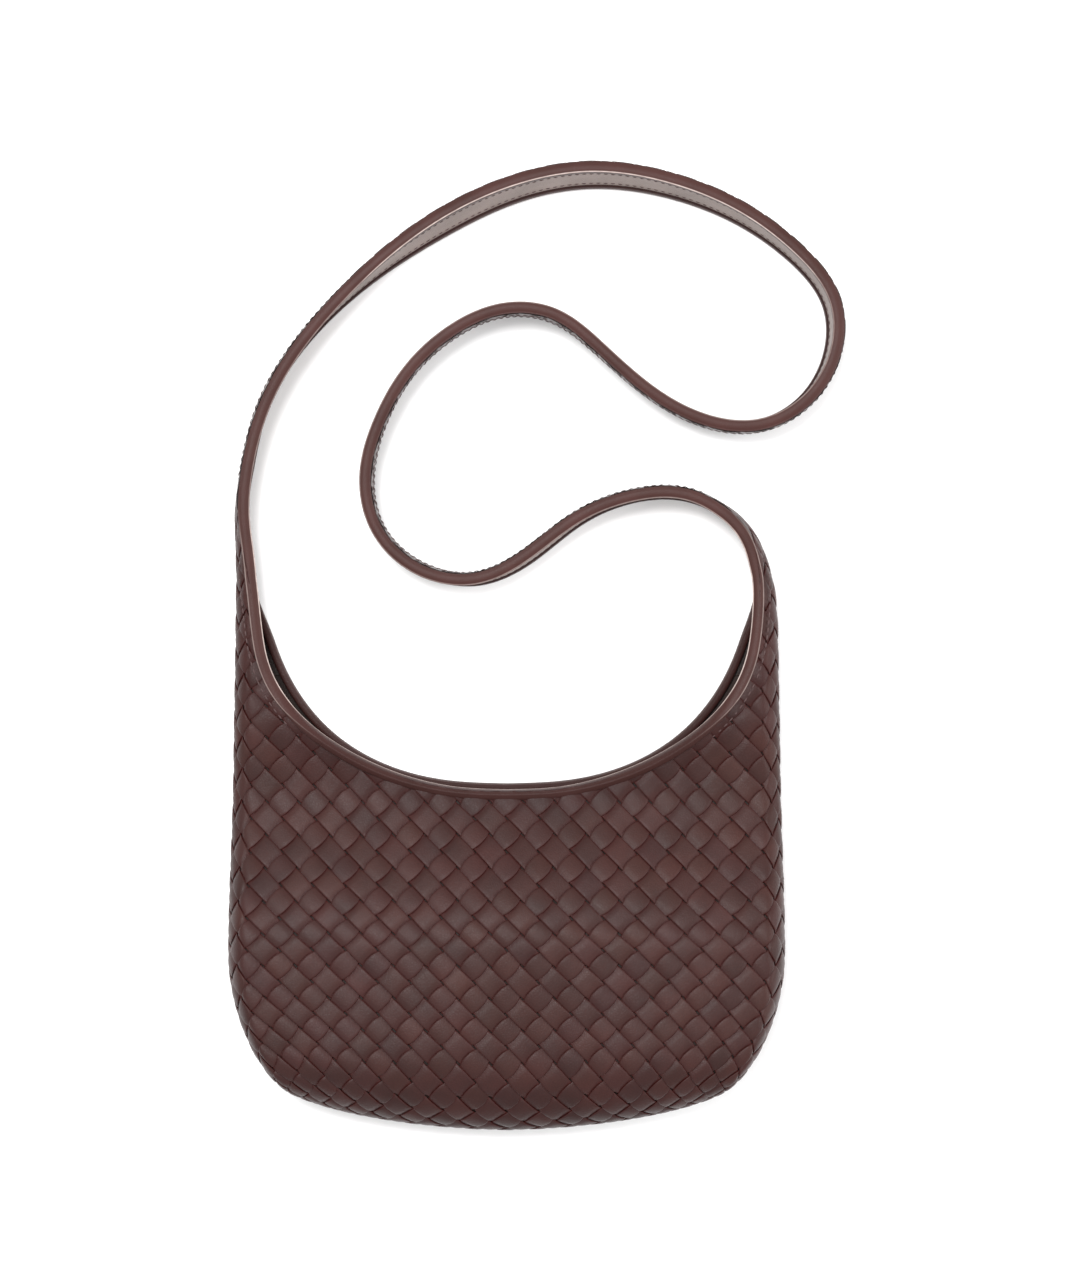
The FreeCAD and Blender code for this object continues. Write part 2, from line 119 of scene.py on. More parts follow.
# Plan of the bound edges from the middle to the right; of the strap from left to right, with its lean
FRONT_EDGE = [(0, 74.1), (22, 75.1), (41.6, 78.8), (61.3, 85.8), (80.1, 96.1), (95.7, 109),
              (105.4, 122.6), (110.4, 137.3), (112, 152), (112.4, 162), (113.2, 173), (115, 187),
              (116.7, 200), (117.4, 214), (117.4, 700)]
BACK_EDGE = [(0, 75.6), (28.9, 77.3), (56, 84.6), (79.5, 99), (97.4, 120.7), (108.6, 148.3),
             (112, 165), (114.2, 184), (116.6, 200), (117.4, 214), (117.4, 700)]
STRAP_ROUTE = [
    (-114.6, 151, -17), (-114.7, 166, -15), (-115.8, 182, -12), (-117.0, 200, -7),
    (-114.8, 221.5, -4), (-108.5, 244, -6), (-96.5, 267, -5.5), (-78.5, 290, -2), (-56.5, 312, 5.5),
    (-29.5, 332, 12.5), (3.5, 347, 12), (38, 353, 11), (72.5, 348, 8.5), (104.5, 335, 6),
    (129.5, 316.5, 3.5), (146.5, 293, 3), (145.5, 267, 3), (133, 248.5, 2), (114, 238.5, 2.5),
    (88.5, 240.5, 3.5), (64, 253.5, 4), (42, 272.5, 3), (20.5, 288, 2), (-1.5, 290, 3),
    (-25, 280, 3), (-44, 262.5, 3.5), (-57, 240, 2.5), (-63.5, 215.5, 0), (-58.5, 191.5, 0),
    (-40.5, 173.5, -2), (-13.5, 169, 1), (10, 180.5, 4), (32, 196.5, 2.5), (57, 206, 0),
    (80, 206.5, -1), (97.2, 197, -5.5), (105.2, 184.5, -10.5), (107.8, 175.5, -12), (110.2, 166, -14),
    (112.6, 151, -14)]


def smooth(t):
    t = np.clip(t, 0.0, 1.0)
    return t * t * (3 - 2 * t)


def between(value, low, high):
    """Rises smoothly from 0 at low to 1 at high."""
    return smooth((value - low) / (high - low))


def spline(points, parameters, at):
    """Natural cubic spline through points, and its slope."""
    p = np.asarray(points, float)
    t = np.asarray(parameters, float)
    h = np.diff(t)
    n = len(t)
    m = np.zeros((n, n))
    r = np.zeros((n, p.shape[1]))
    m[0, 0] = m[-1, -1] = 1
    for i in range(1, n - 1):
        m[i, i - 1], m[i, i], m[i, i + 1] = h[i - 1], 2 * (h[i - 1] + h[i]), h[i]
        r[i] = 6 * ((p[i + 1] - p[i]) / h[i] - (p[i] - p[i - 1]) / h[i - 1])
    c = np.linalg.solve(m, r)
    at = np.asarray(at, float)
    k = np.clip(np.searchsorted(t, at, side="right") - 1, 0, n - 2)
    d = (at - t[k])[:, None]
    hk = h[k][:, None]
    b = (p[k + 1] - p[k]) / hk - hk * (2 * c[k] + c[k + 1]) / 6
    value = p[k] + b * d + c[k] * d**2 / 2 + (c[k + 1] - c[k]) * d**3 / (6 * hk)
    slope = b + c[k] * d + (c[k + 1] - c[k]) * d**2 / (2 * hk)
    return value, slope


def chords(points):
    """Distance along a line of points, from its first."""
    p = np.asarray(points, float)
    return np.concatenate([[0], np.cumsum(np.linalg.norm(np.diff(p, axis=0), axis=1))])


# ---------------- the pouch as a surface
def thickness(y):
    """Front to back, at a height in plan."""
    belly = MOUTH + (BELLY - MOUTH) * (1 - between(y, 5, 75))
    return belly + (STRAP_WIDTH - MOUTH) * between(y, 75, 110)


def half_width(y):
    return HALF_WIDTH - 2.5 * between(y, 0, HORN_Y)


def side_run(columns, total, y):
    """Distance round the wall from the middle to a column: even over the face, the rest on the side."""
    even = columns / COLUMNS * total
    face = np.where(columns < FACE, columns * PITCH,
                    FACE * PITCH + (columns - FACE) / (COLUMNS - FACE) * (total - FACE * PITCH))
    share = between(y, 105, 160)
    return face * (1 - share) + even * share


def side_columns(run, total, y):
    """The column at a distance round the wall from the middle."""
    columns = run / total * COLUMNS
    for _ in range(12):
        columns = columns - (side_run(columns, total, y) - run) / PITCH
    return columns


def quarter(a, b):
    """About the length of a quarter of an ellipse."""
    return math.pi / 2 * np.sqrt((a * a + b * b) / 2)


BASE_ARC = float(quarter(BASE_ROLL, BELLY / 2))


def height_of(b):
    """Plan y of lattice row b on the unrolled pouch, before the corners are rounded."""
    t = np.abs(b) * UNIT
    rolled = -BASE + BASE_ROLL * (1 - np.sin((1 - np.clip(t / BASE_ARC, 0, 1)) * math.pi / 2))
    return np.where(t < BASE_ARC, rolled, -BASE + BASE_ROLL + t - BASE_ARC)


def row_of(y):
    """Lattice row at plan height y."""
    return (y + BASE - BASE_ROLL + BASE_ARC) / UNIT


def folded(a, b):
    """Lattice coordinates folded back on to one wall, and +1 for the front or -1 for the back."""
    side = np.where(np.abs(a) > COLUMNS, -1.0, 1.0) * np.where(b < 0, -1.0, 1.0)
    a = np.where(np.abs(a) > COLUMNS, np.sign(a) * 2 * COLUMNS - a, a)
    return a, np.abs(b), side


def lumps(x, y):
    """Soft unevenness of a filled pouch, in mm."""
    return (0.9 * np.sin(x / 33 + 1.1) * np.sin(y / 27 + 0.6) + 0.5 * np.sin(x / 17 - y / 23 + 2.0)
            + 0.3 * np.sin(x / 11 + y / 13))


def rounding(p, q):
    """Draws the square corners of the base in to a rounded outline."""
    return 1 - 0.22 * (np.clip(p, 0, 1) * np.clip(q, 0, 1))**1.7


def pouch(a, b):
    """The outside of the pouch at lattice coordinates; the back wall has negative rows."""
    a, b, side = folded(a, b)
    y = height_of(b)
    up = np.cos((1 - np.clip(b * UNIT / BASE_ARC, 0, 1)) * math.pi / 2)
    wide, roll, deep = half_width(y), SIDE_ROLL, thickness(y) / 2
    arc = quarter(roll, deep)
    flat = wide - roll
    run = side_run(np.abs(a), flat + arc, y)
    turn = np.clip((run - flat) / arc, 0, 1) * math.pi / 2
    x = np.where(run < flat, run, flat + roll * np.sin(turn))
    across = np.cos(turn)
    round_off = rounding(x / HALF_WIDTH, -y / BASE)
    x = x * round_off * np.sign(a)
    y = np.where(y < 0, y * round_off, y)
    z = deep + side * deep * across * up
    swell = across * up * smooth((COLUMNS - np.abs(a)) / 7) * smooth(b / 7) * smooth((95 - y) / 60)
    crown = 2.0 * (1 - (x / HALF_WIDTH)**2) + lumps(x, y)
    z = z + np.where(side > 0, swell * crown, 0)
    return np.stack([x, y, z], -1)


# ---------------- the strap as a surface
route_marks = chords([p[:2] for p in STRAP_ROUTE])
fine = np.linspace(0, route_marks[-1], 4000)
fine_plan, _ = spline(STRAP_ROUTE, route_marks, fine)
fine_run = chords(fine_plan[:, :2])
LEFT_ROOT = float(np.interp(route_marks[1], fine, fine_run))
RIGHT_ROOT = float(np.interp(route_marks[-2], fine, fine_run))
STRAP_LONG = RIGHT_ROOT - LEFT_ROOT
ROW_ROOT = float(row_of(HORN_Y))
ROWS = 2 * round((2 * ROW_ROOT + STRAP_LONG / UNIT) / 2)
STRAP_UNIT = STRAP_LONG / (ROWS - 2 * ROW_ROOT)


def strap_frame(b):
    """Middle of the band, width direction and outward direction at lattice row b from the left."""
    run = LEFT_ROOT + (b - ROW_ROOT) * STRAP_UNIT
    inside = np.clip(run, 0, fine_run[-1])
    at = np.interp(inside, fine_run, fine)
    value, slope = spline(STRAP_ROUTE, route_marks, at.ravel())
    value, slope = value.reshape(at.shape + (3,)), slope.reshape(at.shape + (3,))
    along = slope[..., :2] / np.linalg.norm(slope[..., :2], axis=-1, keepdims=True)
    lean = np.radians(value[..., 2])
    left = np.stack([-along[..., 1], along[..., 0], np.zeros_like(lean)], -1)
    plan = value[..., :2] + along * (run - inside)[..., None]
    plan = plan - left[..., :2] * (STRAP_WIDTH / 2 * np.sin(lean))[..., None]
    rise = np.array([0, 0, 1.0])
    cos, sin = np.cos(lean)[..., None], np.sin(lean)[..., None]
    up = rise * cos + left * sin
    out = left * cos - rise * sin
    z = TABLE_GAP + STRAP_WIDTH / 2 * np.cos(lean) + BINDING_THICK / 2 * np.abs(np.sin(lean))
    return np.concatenate([plan, z[..., None]], -1), up, out


def edge_curve(points):
    """A smooth edge through points, straight in its last length."""
    marks = chords(points)
    bends = np.linspace(0, marks[-2], 200)
    value, _ = spline(points[:-1], marks[:-1], bends)
    return np.concatenate([value, [points[-1]]])


def to_lattice(plan):
    """Lattice coordinates of plan points on the right half of the pouch, above its base."""
    x, y = plan[:, 0], plan[:, 1]
    wide, roll, deep = half_width(y), SIDE_ROLL, thickness(y) / 2
    arc, flat = quarter(roll, deep), wide - roll
    turned = np.arcsin(np.clip((x - flat) / roll, 0, 1)) / (math.pi / 2) * arc
    run = np.where(x < flat, x, flat + turned)
    return np.stack([side_columns(run, flat + arc, y), row_of(y)], -1)


edges = {1: to_lattice(edge_curve(FRONT_EDGE)), -1: to_lattice(edge_curve(BACK_EDGE))}


def reach(b, side):
    """How far the wall reaches from the outline to its bound edge at row b, in lattice units."""
    curve = edges[side]
    rows = np.maximum.accumulate(curve[:, 1])
    return np.clip(COLUMNS - np.interp(b, rows, curve[:, 0]), 1.0, 9.0)


def root_share(near):
    """How far the surface has turned from horn (0) into strap (1) at a row from its own horn."""
    return between(height_of(near), ROOT_LOW, ROOT_HIGH)


def from_band(e, b):
    """Pouch coordinates of a place on the band of horns and strap."""
    left = b < ROWS / 2
    return np.where(left, e - COLUMNS, COLUMNS - e), np.where(left, b, ROWS - b)


def band(e, b):
    """Horns and strap as one surface: e is from the outline or middle of the strap, towards +Z."""
    a, near = from_band(e, b)
    horn = pouch(a, near)
    middle, up, out = strap_frame(b)
    edge_at = np.where(e > 0, reach(near, 1), reach(near, -1))
    level = e / edge_at * (STRAP_WIDTH / 2 - BINDING_END)
    strap = middle + up * level[..., None] + out * SKIN
    share = root_share(near)[..., None]
    return horn * (1 - share) + strap * share


def lifted(surface, u, v, h):
    """Points on a surface, moved out along its normal by h."""
    d = 0.04
    base = surface(u, v)
    du = surface(u + d, v) - surface(u - d, v)
    dv = surface(u, v + d) - surface(u, v - d)
    normal = np.cross(du, dv)
    normal /= np.maximum(np.linalg.norm(normal, axis=-1, keepdims=True), 1e-9)
    return base + normal * np.asarray(h)[..., None], normal


# ---------------- trimming at the mouth
def past_edge(a, b):
    """Distance past the bound edge in lattice units, and the nearest point of that edge."""
    a1, b1, side = folded(a, b)
    shape = a1.shape
    q = np.stack([np.abs(a1).ravel(), b1.ravel()], -1)
    sides = side.ravel()
    distance = np.full(len(q), -9.0)
    nearest = q.copy()
    for s in (1, -1):
        pick = np.where((sides == s) & (q[:, 1] > row_of(EDGE_FROM_Y)))[0]
        curve = edges[s]
        for chunk in np.array_split(pick, max(1, len(pick) // 20000)):
            if len(chunk) == 0:
                continue
            gap = q[chunk][:, None, :] - curve[None]
            k = np.argmin((gap**2).sum(-1), 1)
            k = np.clip(k, 1, len(curve) - 2)
            found = []
            for j in (k - 1, k):
                p0, p1 = curve[j], curve[j + 1]
                way = p1 - p0
                t = np.clip(((q[chunk] - p0) * way).sum(-1) / (way**2).sum(-1), 0, 1)
                on = p0 + way * t[:, None]
                off = q[chunk] - on
                cross = way[:, 0] * off[:, 1] - way[:, 1] * off[:, 0]
                found.append((on, np.linalg.norm(off, axis=-1), cross))
            (on, d, cross), (on2, d2, cross2) = found
            swap = d2 < d
            d, cross = np.where(swap, d2, d), np.where(swap, cross2, cross)
            distance[chunk] = np.where(cross > 0, d, -d)
            nearest[chunk] = np.where(swap[:, None], on2, on)
    return distance.reshape(shape), nearest.reshape(shape + (2,)), side


# ---------------- meshes
def make_object(name, points, faces, attributes, material):
    mesh = bpy.data.meshes.new(name)
    mesh.from_pydata((np.asarray(points) * MM).tolist(), [], [list(map(int, f)) for f in faces])
    mesh.validate()
    for key, values in attributes.items():
        layer = mesh.attributes.new(key, "FLOAT", "POINT")
        layer.data.foreach_set("value", np.asarray(values, np.float32))
    # end caps stay flat, with a sharp edge round them
    mesh.polygons.foreach_set("use_smooth", [len(face.vertices) == 4 for face in mesh.polygons])
    caps = [face for face in mesh.polygons if len(face.vertices) > 4]
    for i in {mesh.loops[k].edge_index for face in caps for k in face.loop_indices}:
        mesh.edges[i].use_edge_sharp = True
    obj = bpy.data.objects.new(name, mesh)
    bpy.context.collection.objects.link(obj)
    mesh.materials.append(material)
    mesh.update()
    return obj


def face_outward(obj):
    bm = bmesh.new()
    bm.from_mesh(obj.data)
    bmesh.ops.recalc_face_normals(bm, faces=bm.faces)
    bm.to_mesh(obj.data)
    bm.free()


class Parts:
    """Gathers patches of points and faces into one mesh."""

    def __init__(self):
        self.points, self.faces, self.attributes, self.count = [], [], {}, 0

    def add(self, points, faces, **attributes):
        points = np.asarray(points).reshape(-1, 3)
        self.faces.extend([[i + self.count for i in f] for f in faces])
        self.points.append(points)
        for key, values in attributes.items():
            full = np.broadcast_to(np.asarray(values, float), (len(points),))
            self.attributes.setdefault(key, []).append(full)
        self.count += len(points)

    def build(self, name, material):
        attributes = {k: np.concatenate(v) for k, v in self.attributes.items()}
        return make_object(name, np.concatenate(self.points), self.faces, attributes, material)


def grid_faces(rows, columns, closed=False):
    """Faces of a grid of points, row by row; closed joins each row's ends."""
    faces = []
    last = columns if closed else columns - 1
    for r in range(rows - 1):
        for c in range(last):
            d = (c + 1) % columns
            faces.append((r * columns + c, r * columns + d, (r + 1) * columns + d, (r + 1) * columns + c))
    return faces


def tube_faces(rings, count):
    """Faces of a tube through rings of count points each, with a cap at both ends."""
    caps = [tuple(range(count)), tuple(range((rings - 1) * count, rings * count))[::-1]]
    return grid_faces(rings, count, closed=True) + caps


# ---------------- the weave
# A strip's section as (across, rise), and the stations along one crossing, in half-diagonals
RING = np.array([(-0.5, -0.52), (-0.486, -0.30), (-0.45, -0.15), (-0.36, -0.05), (-0.19, 0.0),
                 (0.0, 0.02), (0.19, 0.0), (0.36, -0.05), (0.45, -0.15), (0.486, -0.30),
                 (0.5, -0.52), (0.42, -0.88), (0.0, -0.92), (-0.42, -0.88)])
ALONG = np.array([-1, -0.74, -0.58, -0.47, -0.35, -0.19, 0, 0.19, 0.35, 0.47, 0.58, 0.74, 1.0])
RING_FACES = grid_faces(len(ALONG), len(RING), closed=True)


def wander(a, b):
    """Slow wander of the lattice, so that no line is quite straight."""
    da = 0.035 * np.sin(0.31 * a + 0.27 * b + 0.4) + 0.02 * np.sin(0.9 * b - 0.5 * a + 2.1)
    db = 0.035 * np.sin(0.28 * a - 0.33 * b + 1.7) + 0.02 * np.sin(0.7 * a + 0.6 * b)
    return da, db


strip_width = RNG.normal(1.0, 0.02, 2 * STRIPS)
strip_tint = RNG.random(2 * STRIPS)
TUCK_END = 0.60  # a strip is fully under its neighbours here
TUCK_DEEP, PRESSED = 1.02, 0.55  # how far its ends dip, and the weave at its bound edge


def strip_patch(parts, surface, a, b):
    """One place where a strip passes over another, with its ends tucked under the next ones."""
    rising = b % 2 == 0
    t, q = np.meshgrid(ALONG, RING[:, 0], indexing="ij")
    drop = np.broadcast_to(RING[:, 1], t.shape)
    index = int((b - a if rising else b + a) // 2) % STRIPS + (0 if rising else STRIPS)
    if rising:
        width = (0.965 - 1.15 * np.clip(np.abs(t), 0, 0.5)**2.6) * strip_width[index]
        tuck_start = 0.22
    else:
        width = (0.975 - 0.25 * np.clip(np.abs(t), 0, 0.5)**3) * strip_width[index]
        tuck_start = 0.26
    tilt = RNG.normal(0, 0.012)
    qq = q * width + tilt * t
    sa, sb = (t - qq, t + qq) if rising else (-t + qq, t + qq)
    la, lb = a + sa, b + sb
    da, db = wander(la, lb)
    la, lb = la + da, lb + db
    ta, tb = (la, lb) if surface is pouch else from_band(la, lb)
    distance, nearest, side = past_edge(ta, tb)
    over = distance > -0.10
    if over.all():
        return
    if over.any():
        # what lies past the bound edge is drawn back to it
        a1, b1, _ = folded(ta, tb)
        na = np.where(over, nearest[..., 0] * np.sign(a1), a1)
        nb = np.where(over, nearest[..., 1], b1)
        shift_a, shift_b = na - a1, nb - b1
        outside = np.abs(ta) > COLUMNS
        ta2 = np.where(outside, ta - shift_a, ta + shift_a)
        tb2 = np.where(tb < 0, tb - shift_b, tb + shift_b)
        # from the middle of the strap on, pouch coordinates run against the band's own
        sign = 1.0 if surface is pouch else np.where(lb < ROWS / 2, 1.0, -1.0)
        la, lb = la + (ta2 - ta) * sign, lb + (tb2 - tb) * sign
    near = np.clip(-distance / 0.9, 0, 1)
    press = 0.35 + 0.65 * smooth(near)
    bend = between(np.abs(t), tuck_start, TUCK_END)
    h = (-TUCK_DEEP * bend + drop) * press - PRESSED * (1 - press)
    points, _ = lifted(surface, la, lb, h)
    flat_over = over.ravel()
    faces = [f for f in RING_FACES if not all(flat_over[i] for i in f)]
    if not over.any():
        n = len(RING)
        faces = faces + [tuple(range(n - 1, -1, -1)), tuple(range((len(ALONG) - 1) * n, len(ALONG) * n))]
    # painted shade masks: edge darkens a strip's sides and ends where they meet its neighbours, low darkens
    # where it dips under them
    edge = np.maximum(between(np.abs(q) * 2, 0.84, 1.0), between(np.abs(t), 0.42, 0.52))
    low = np.maximum(between(np.abs(t), 0.46, 0.60), between(-drop, 0.14, 0.54))
    high = between(height_of(folded(ta, tb)[1]), 100, 160)
    # painted shade: the front's top cells under the mouth's edge are darkened, where the wall curves back
    # under it
    shade = smooth(1 - np.clip(-distance / 2.8, 0, 1)) * (side > 0) * (1 - high)  # under the mouth
    tint = 0.5 * RNG.random() + 0.5 * strip_tint[index]
    parts.add(points, faces, edge=edge.ravel(), low=low.ravel(), shade=shade.ravel(), tint=tint,
              value=RNG.random())


ROOT_ROW = int(round(row_of(STRIPS_Y)))
MID_ROW = int(math.ceil(row_of(RIGID_Y))) + 1
SPLIT, STRAP_FROM = float(row_of(SPLIT_Y)), float(MID_ROW)


def add_wall(parts, front):
    for b in range(0, ROOT_ROW):
        for a in range(-COLUMNS, COLUMNS + 1):
            if (a + b) % 2:
                continue
            if front:
                strip_patch(parts, pouch, a, b)
            elif b > 0 and abs(a) < COLUMNS:
                strip_patch(parts, pouch, a, -b)


def add_band(parts, first, last, widest):
    for b in range(first, last):
        for e in range(-widest, widest + 1):
            if (e - COLUMNS + b) % 2:
                continue
            strip_patch(parts, band, e, b)


# ---------------- materials
def node_material(name):
    m = bpy.data.materials.new(name)
    m.use_nodes = True
    tree = m.node_tree
    tree.nodes.clear()
    out = tree.nodes.new("ShaderNodeOutputMaterial")
    shader = tree.nodes.new("ShaderNodeBsdfPrincipled")
    tree.links.new(shader.outputs[0], out.inputs[0])
    return m, tree, shader


def texture(tree, kind, stretch=None, **inputs):
    """A texture node on object coordinates, stretched if asked."""
    n = tree.nodes.new(kind)
    for key, value in inputs.items():
        n.inputs[key].default_value = value
    where = tree.nodes.new("ShaderNodeTexCoord").outputs["Object"]
    if stretch:
        mapping = tree.nodes.new("ShaderNodeMapping")
        mapping.inputs["Scale"].default_value = stretch
        tree.links.new(where, mapping.inputs["Vector"])
        where = mapping.outputs[0]
    tree.links.new(where, n.inputs["Vector"])
    return n


def noise(tree, scale, detail, stretch=None):
    return texture(tree, "ShaderNodeTexNoise", stretch, Scale=scale, Detail=detail).outputs["Fac"]


def attribute(tree, name):
    n = tree.nodes.new("ShaderNodeAttribute")
    n.attribute_name = name
    return n.outputs["Fac"]


def mix(tree, factor, a, b, blend="MIX"):
    n = tree.nodes.new("ShaderNodeMix")
    n.data_type = "RGBA"
    n.blend_type = blend
    for socket, value in ((n.inputs["Factor"], factor), (n.inputs["A"], a), (n.inputs["B"], b)):
        if isinstance(value, (int, float)):
            socket.default_value = value
        elif isinstance(value, tuple):
            socket.default_value = (*value, 1.0)
        else:
            tree.links.new(value, socket)
    return n.outputs["Result"]


def ramp(tree, value, low, high, to_low=0.0, to_high=1.0):
    n = tree.nodes.new("ShaderNodeMapRange")
    n.inputs["From Min"].default_value = low
    n.inputs["From Max"].default_value = high
    n.inputs["To Min"].default_value = to_low
    n.inputs["To Max"].default_value = to_high
    tree.links.new(value, n.inputs["Value"])
    return n.outputs[0]


def maths(tree, operation, a, b):
    n = tree.nodes.new("ShaderNodeMath")
    n.operation = operation
    for socket, value in zip(n.inputs, (a, b)):
        if isinstance(value, (int, float)):
            socket.default_value = value
        else:
            tree.links.new(value, socket)
    return n.outputs[0]


def bumped(tree, shader, height, strength, distance):
    bump = tree.nodes.new("ShaderNodeBump")
    bump.inputs["Strength"].default_value = strength
    bump.inputs["Distance"].default_value = distance
    tree.links.new(height, bump.inputs["Height"])
    tree.links.new(bump.outputs[0], shader.inputs["Normal"])


def leather_grain(tree, shader, pore, strength, rough):
    """Fine pores and soft creases, and a roughness that follows them."""
    cells = texture(tree, "ShaderNodeTexVoronoi", Scale=pore)
    cells.feature = "DISTANCE_TO_EDGE"
    edge = ramp(tree, cells.outputs["Distance"], 0.0, 0.16)
    fine = noise(tree, pore * 2.2, 4.0)
    bumped(tree, shader, maths(tree, "ADD", edge, fine), strength, 0.0002)
    tree.links.new(ramp(tree, fine, 0.3, 0.7, *rough), shader.inputs["Roughness"])


def gloss(shader, specular, sheen, sheen_rough):
    shader.inputs["Specular IOR Level"].default_value = specular
    shader.inputs["Sheen Weight"].default_value = sheen
    shader.inputs["Sheen Roughness"].default_value = sheen_rough


def woven_leather(name, rough, specular):
    """Each strip's own tone, with painted shade towards the base, under the mouth's edge, at the strips'
    edges and where they dip under their neighbours.
    """
    m, tree, shader = node_material(name)
    # painted shade colours: the first towards the base and under the mouth's edge, the second at the strips'
    # edges, the third where strips dip under their neighbours
    dark, edge_shade, gap = (0.0185, 0.0026, 0.0018), (0.028, 0.0038, 0.0028), (0.033, 0.0024, 0.0015)
    tint, value = attribute(tree, "tint"), attribute(tree, "value")
    base = mix(tree, tint, (0.0298, 0.0089, 0.0065), (0.0290, 0.0081, 0.0072))
    light = ramp(tree, value, 0.0, 1.0, 0.86, 1.15)
    for scale, detail, least, most in ((70.0, 3.0, 0.86, 1.14), (1500.0, 2.0, 0.90, 1.10)):
        spots = ramp(tree, noise(tree, scale, detail), 0.3, 0.7, least, most)
        light = maths(tree, "MULTIPLY", light, spots)
    place = tree.nodes.new("ShaderNodeTexCoord")
    split = tree.nodes.new("ShaderNodeSeparateXYZ")
    tree.links.new(place.outputs["Object"], split.inputs[0])
    # painted shade towards the bottom, where the wall turns down away from the light
    base_shade = ramp(tree, split.outputs["Y"], -0.074, -0.032, 0.85, 0.0)
    # painted shade under the mouth's edge, read from the shade attribute
    mouth_shade = ramp(tree, attribute(tree, "shade"), 0.0, 1.0, 0.0, 0.85)
    base = mix(tree, maths(tree, "MAXIMUM", base_shade, mouth_shade), base, dark)
    grey = tree.nodes.new("ShaderNodeCombineColor")
    for i in range(3):
        tree.links.new(light, grey.inputs[i])
    colour = mix(tree, 1.0, base, grey.outputs[0], "MULTIPLY")
    # painted shade at the strips' edges and in the dips under their neighbours
    for key, start, most, shown in (("edge", 0.15, 0.85, edge_shade), ("low", 0.2, 0.9, gap)):
        share = ramp(tree, attribute(tree, key), start, 1.0, 0.0, most)
        colour = mix(tree, share, colour, shown)
    tree.links.new(colour, shader.inputs["Base Color"])
    leather_grain(tree, shader, 900.0, 0.22, rough)
    gloss(shader, specular, 0.03, 0.32)
    return m


def plain_leather(name, dark, bright, pore=1000.0, strength=0.18, rough=(0.40, 0.52), sheen=0.1,
                  rim=None, deep=None):
    """Smooth leather, with a pale colour for the line along its rim, and a deep colour for painted shade
    where the groove attribute asks.
    """
    m, tree, shader = node_material(name)
    blotch = noise(tree, 55.0, 4.0)
    base = mix(tree, ramp(tree, blotch, 0.3, 0.7), dark, bright)
    if rim:
        line_share = attribute(tree, "rim")
        streak = ramp(tree, noise(tree, 260.0, 3.0), 0.25, 0.65, 0.55, 1.0)
        base = mix(tree, maths(tree, "MULTIPLY", line_share, streak), base, rim)
    # painted shade: the deep colour is mixed in where the groove attribute asks, on the binding's roll and
    # inside the horns
    if deep:
        base = mix(tree, attribute(tree, "groove"), base, deep)
    tree.links.new(base, shader.inputs["Base Color"])
    leather_grain(tree, shader, pore, strength, rough)
    gloss(shader, 0.18, sheen, 0.45)
    return m


def thread_material():
    m, tree, shader = node_material("thread")
    twist = texture(tree, "ShaderNodeTexWave", Scale=900.0, Distortion=1.5).outputs["Fac"]
    tree.links.new(mix(tree, twist, (0.030, 0.012, 0.012), (0.075, 0.035, 0.033)),
                   shader.inputs["Base Color"])
    shader.inputs["Roughness"].default_value = 0.7
    return m


def cloth_material(name, dark, bright):
    m, tree, shader = node_material(name)
    heights = []
    for direction in ("X", "Y"):
        wave = texture(tree, "ShaderNodeTexWave", Scale=250.0, Distortion=0.4)
        wave.bands_direction = direction
        heights.append(wave.outputs["Fac"])
    weave = maths(tree, "MULTIPLY", *heights)
    tree.links.new(mix(tree, weave, dark, bright), shader.inputs["Base Color"])
    bumped(tree, shader, weave, 0.4, 0.0002)
    shader.inputs["Roughness"].default_value = 0.8
    shader.inputs["Sheen Weight"].default_value = 0.2
    return m


def brass_material():
    m, tree, shader = node_material("aged brass")
    wear = noise(tree, 180.0, 5.0)
    bright = ramp(tree, wear, 0.35, 0.7)
    tree.links.new(mix(tree, bright, (0.36, 0.25, 0.12), (0.56, 0.42, 0.22)),
                   shader.inputs["Base Color"])
    tree.links.new(ramp(tree, wear, 0.3, 0.7, 0.26, 0.44), shader.inputs["Roughness"])
    shader.inputs["Metallic"].default_value = 1.0
    scratch = noise(tree, 900.0, 2.0, stretch=(1.0, 0.15, 1.0))
    bumped(tree, shader, scratch, 0.12, 0.0001)
    return m


WOVEN = woven_leather("woven leather", (0.40, 0.54), 0.21)
HANDLED = woven_leather("woven leather, polished by handling", (0.28, 0.40), 0.32)
# binding leather: its last colour is painted shade on the roll's side and low in the mouth
BOUND = plain_leather("binding leather", (0.036, 0.0118, 0.0092), (0.050, 0.0175, 0.0148),
                      sheen=0.04, rim=(0.60, 0.49, 0.45), deep=(0.022, 0.006, 0.005))
# painted shade: the pouch lining is a dark copy of the strap's lining leather, for the shade inside the
# pouch
SHADED_LINING = plain_leather("lining leather", (0.0130, 0.0068, 0.0052), (0.024, 0.0125, 0.0098),
                      800.0, 0.25, (0.5, 0.62))
# the strap lining's pale colours are partly painted reflection of the white surroundings; its deep colour is
# painted shade inside the horns
STRAP_LINING_GLARE_AND_SHADE = plain_leather("strap lining leather", (0.150, 0.112, 0.098), (0.205, 0.155, 0.138),
                            800.0, 0.2, (0.42, 0.52), deep=(0.0185, 0.0097, 0.0075))
POCKETED = plain_leather("pocket leather", (0.070, 0.034, 0.028), (0.098, 0.050, 0.041), 900.0, 0.25)
THREAD = thread_material()
TAPE = cloth_material("zip tape", (0.030, 0.014, 0.013), (0.070, 0.036, 0.034))
CORE = cloth_material("reinforcing tape", (0.16, 0.12, 0.10), (0.26, 0.20, 0.17))
BRASS = brass_material()


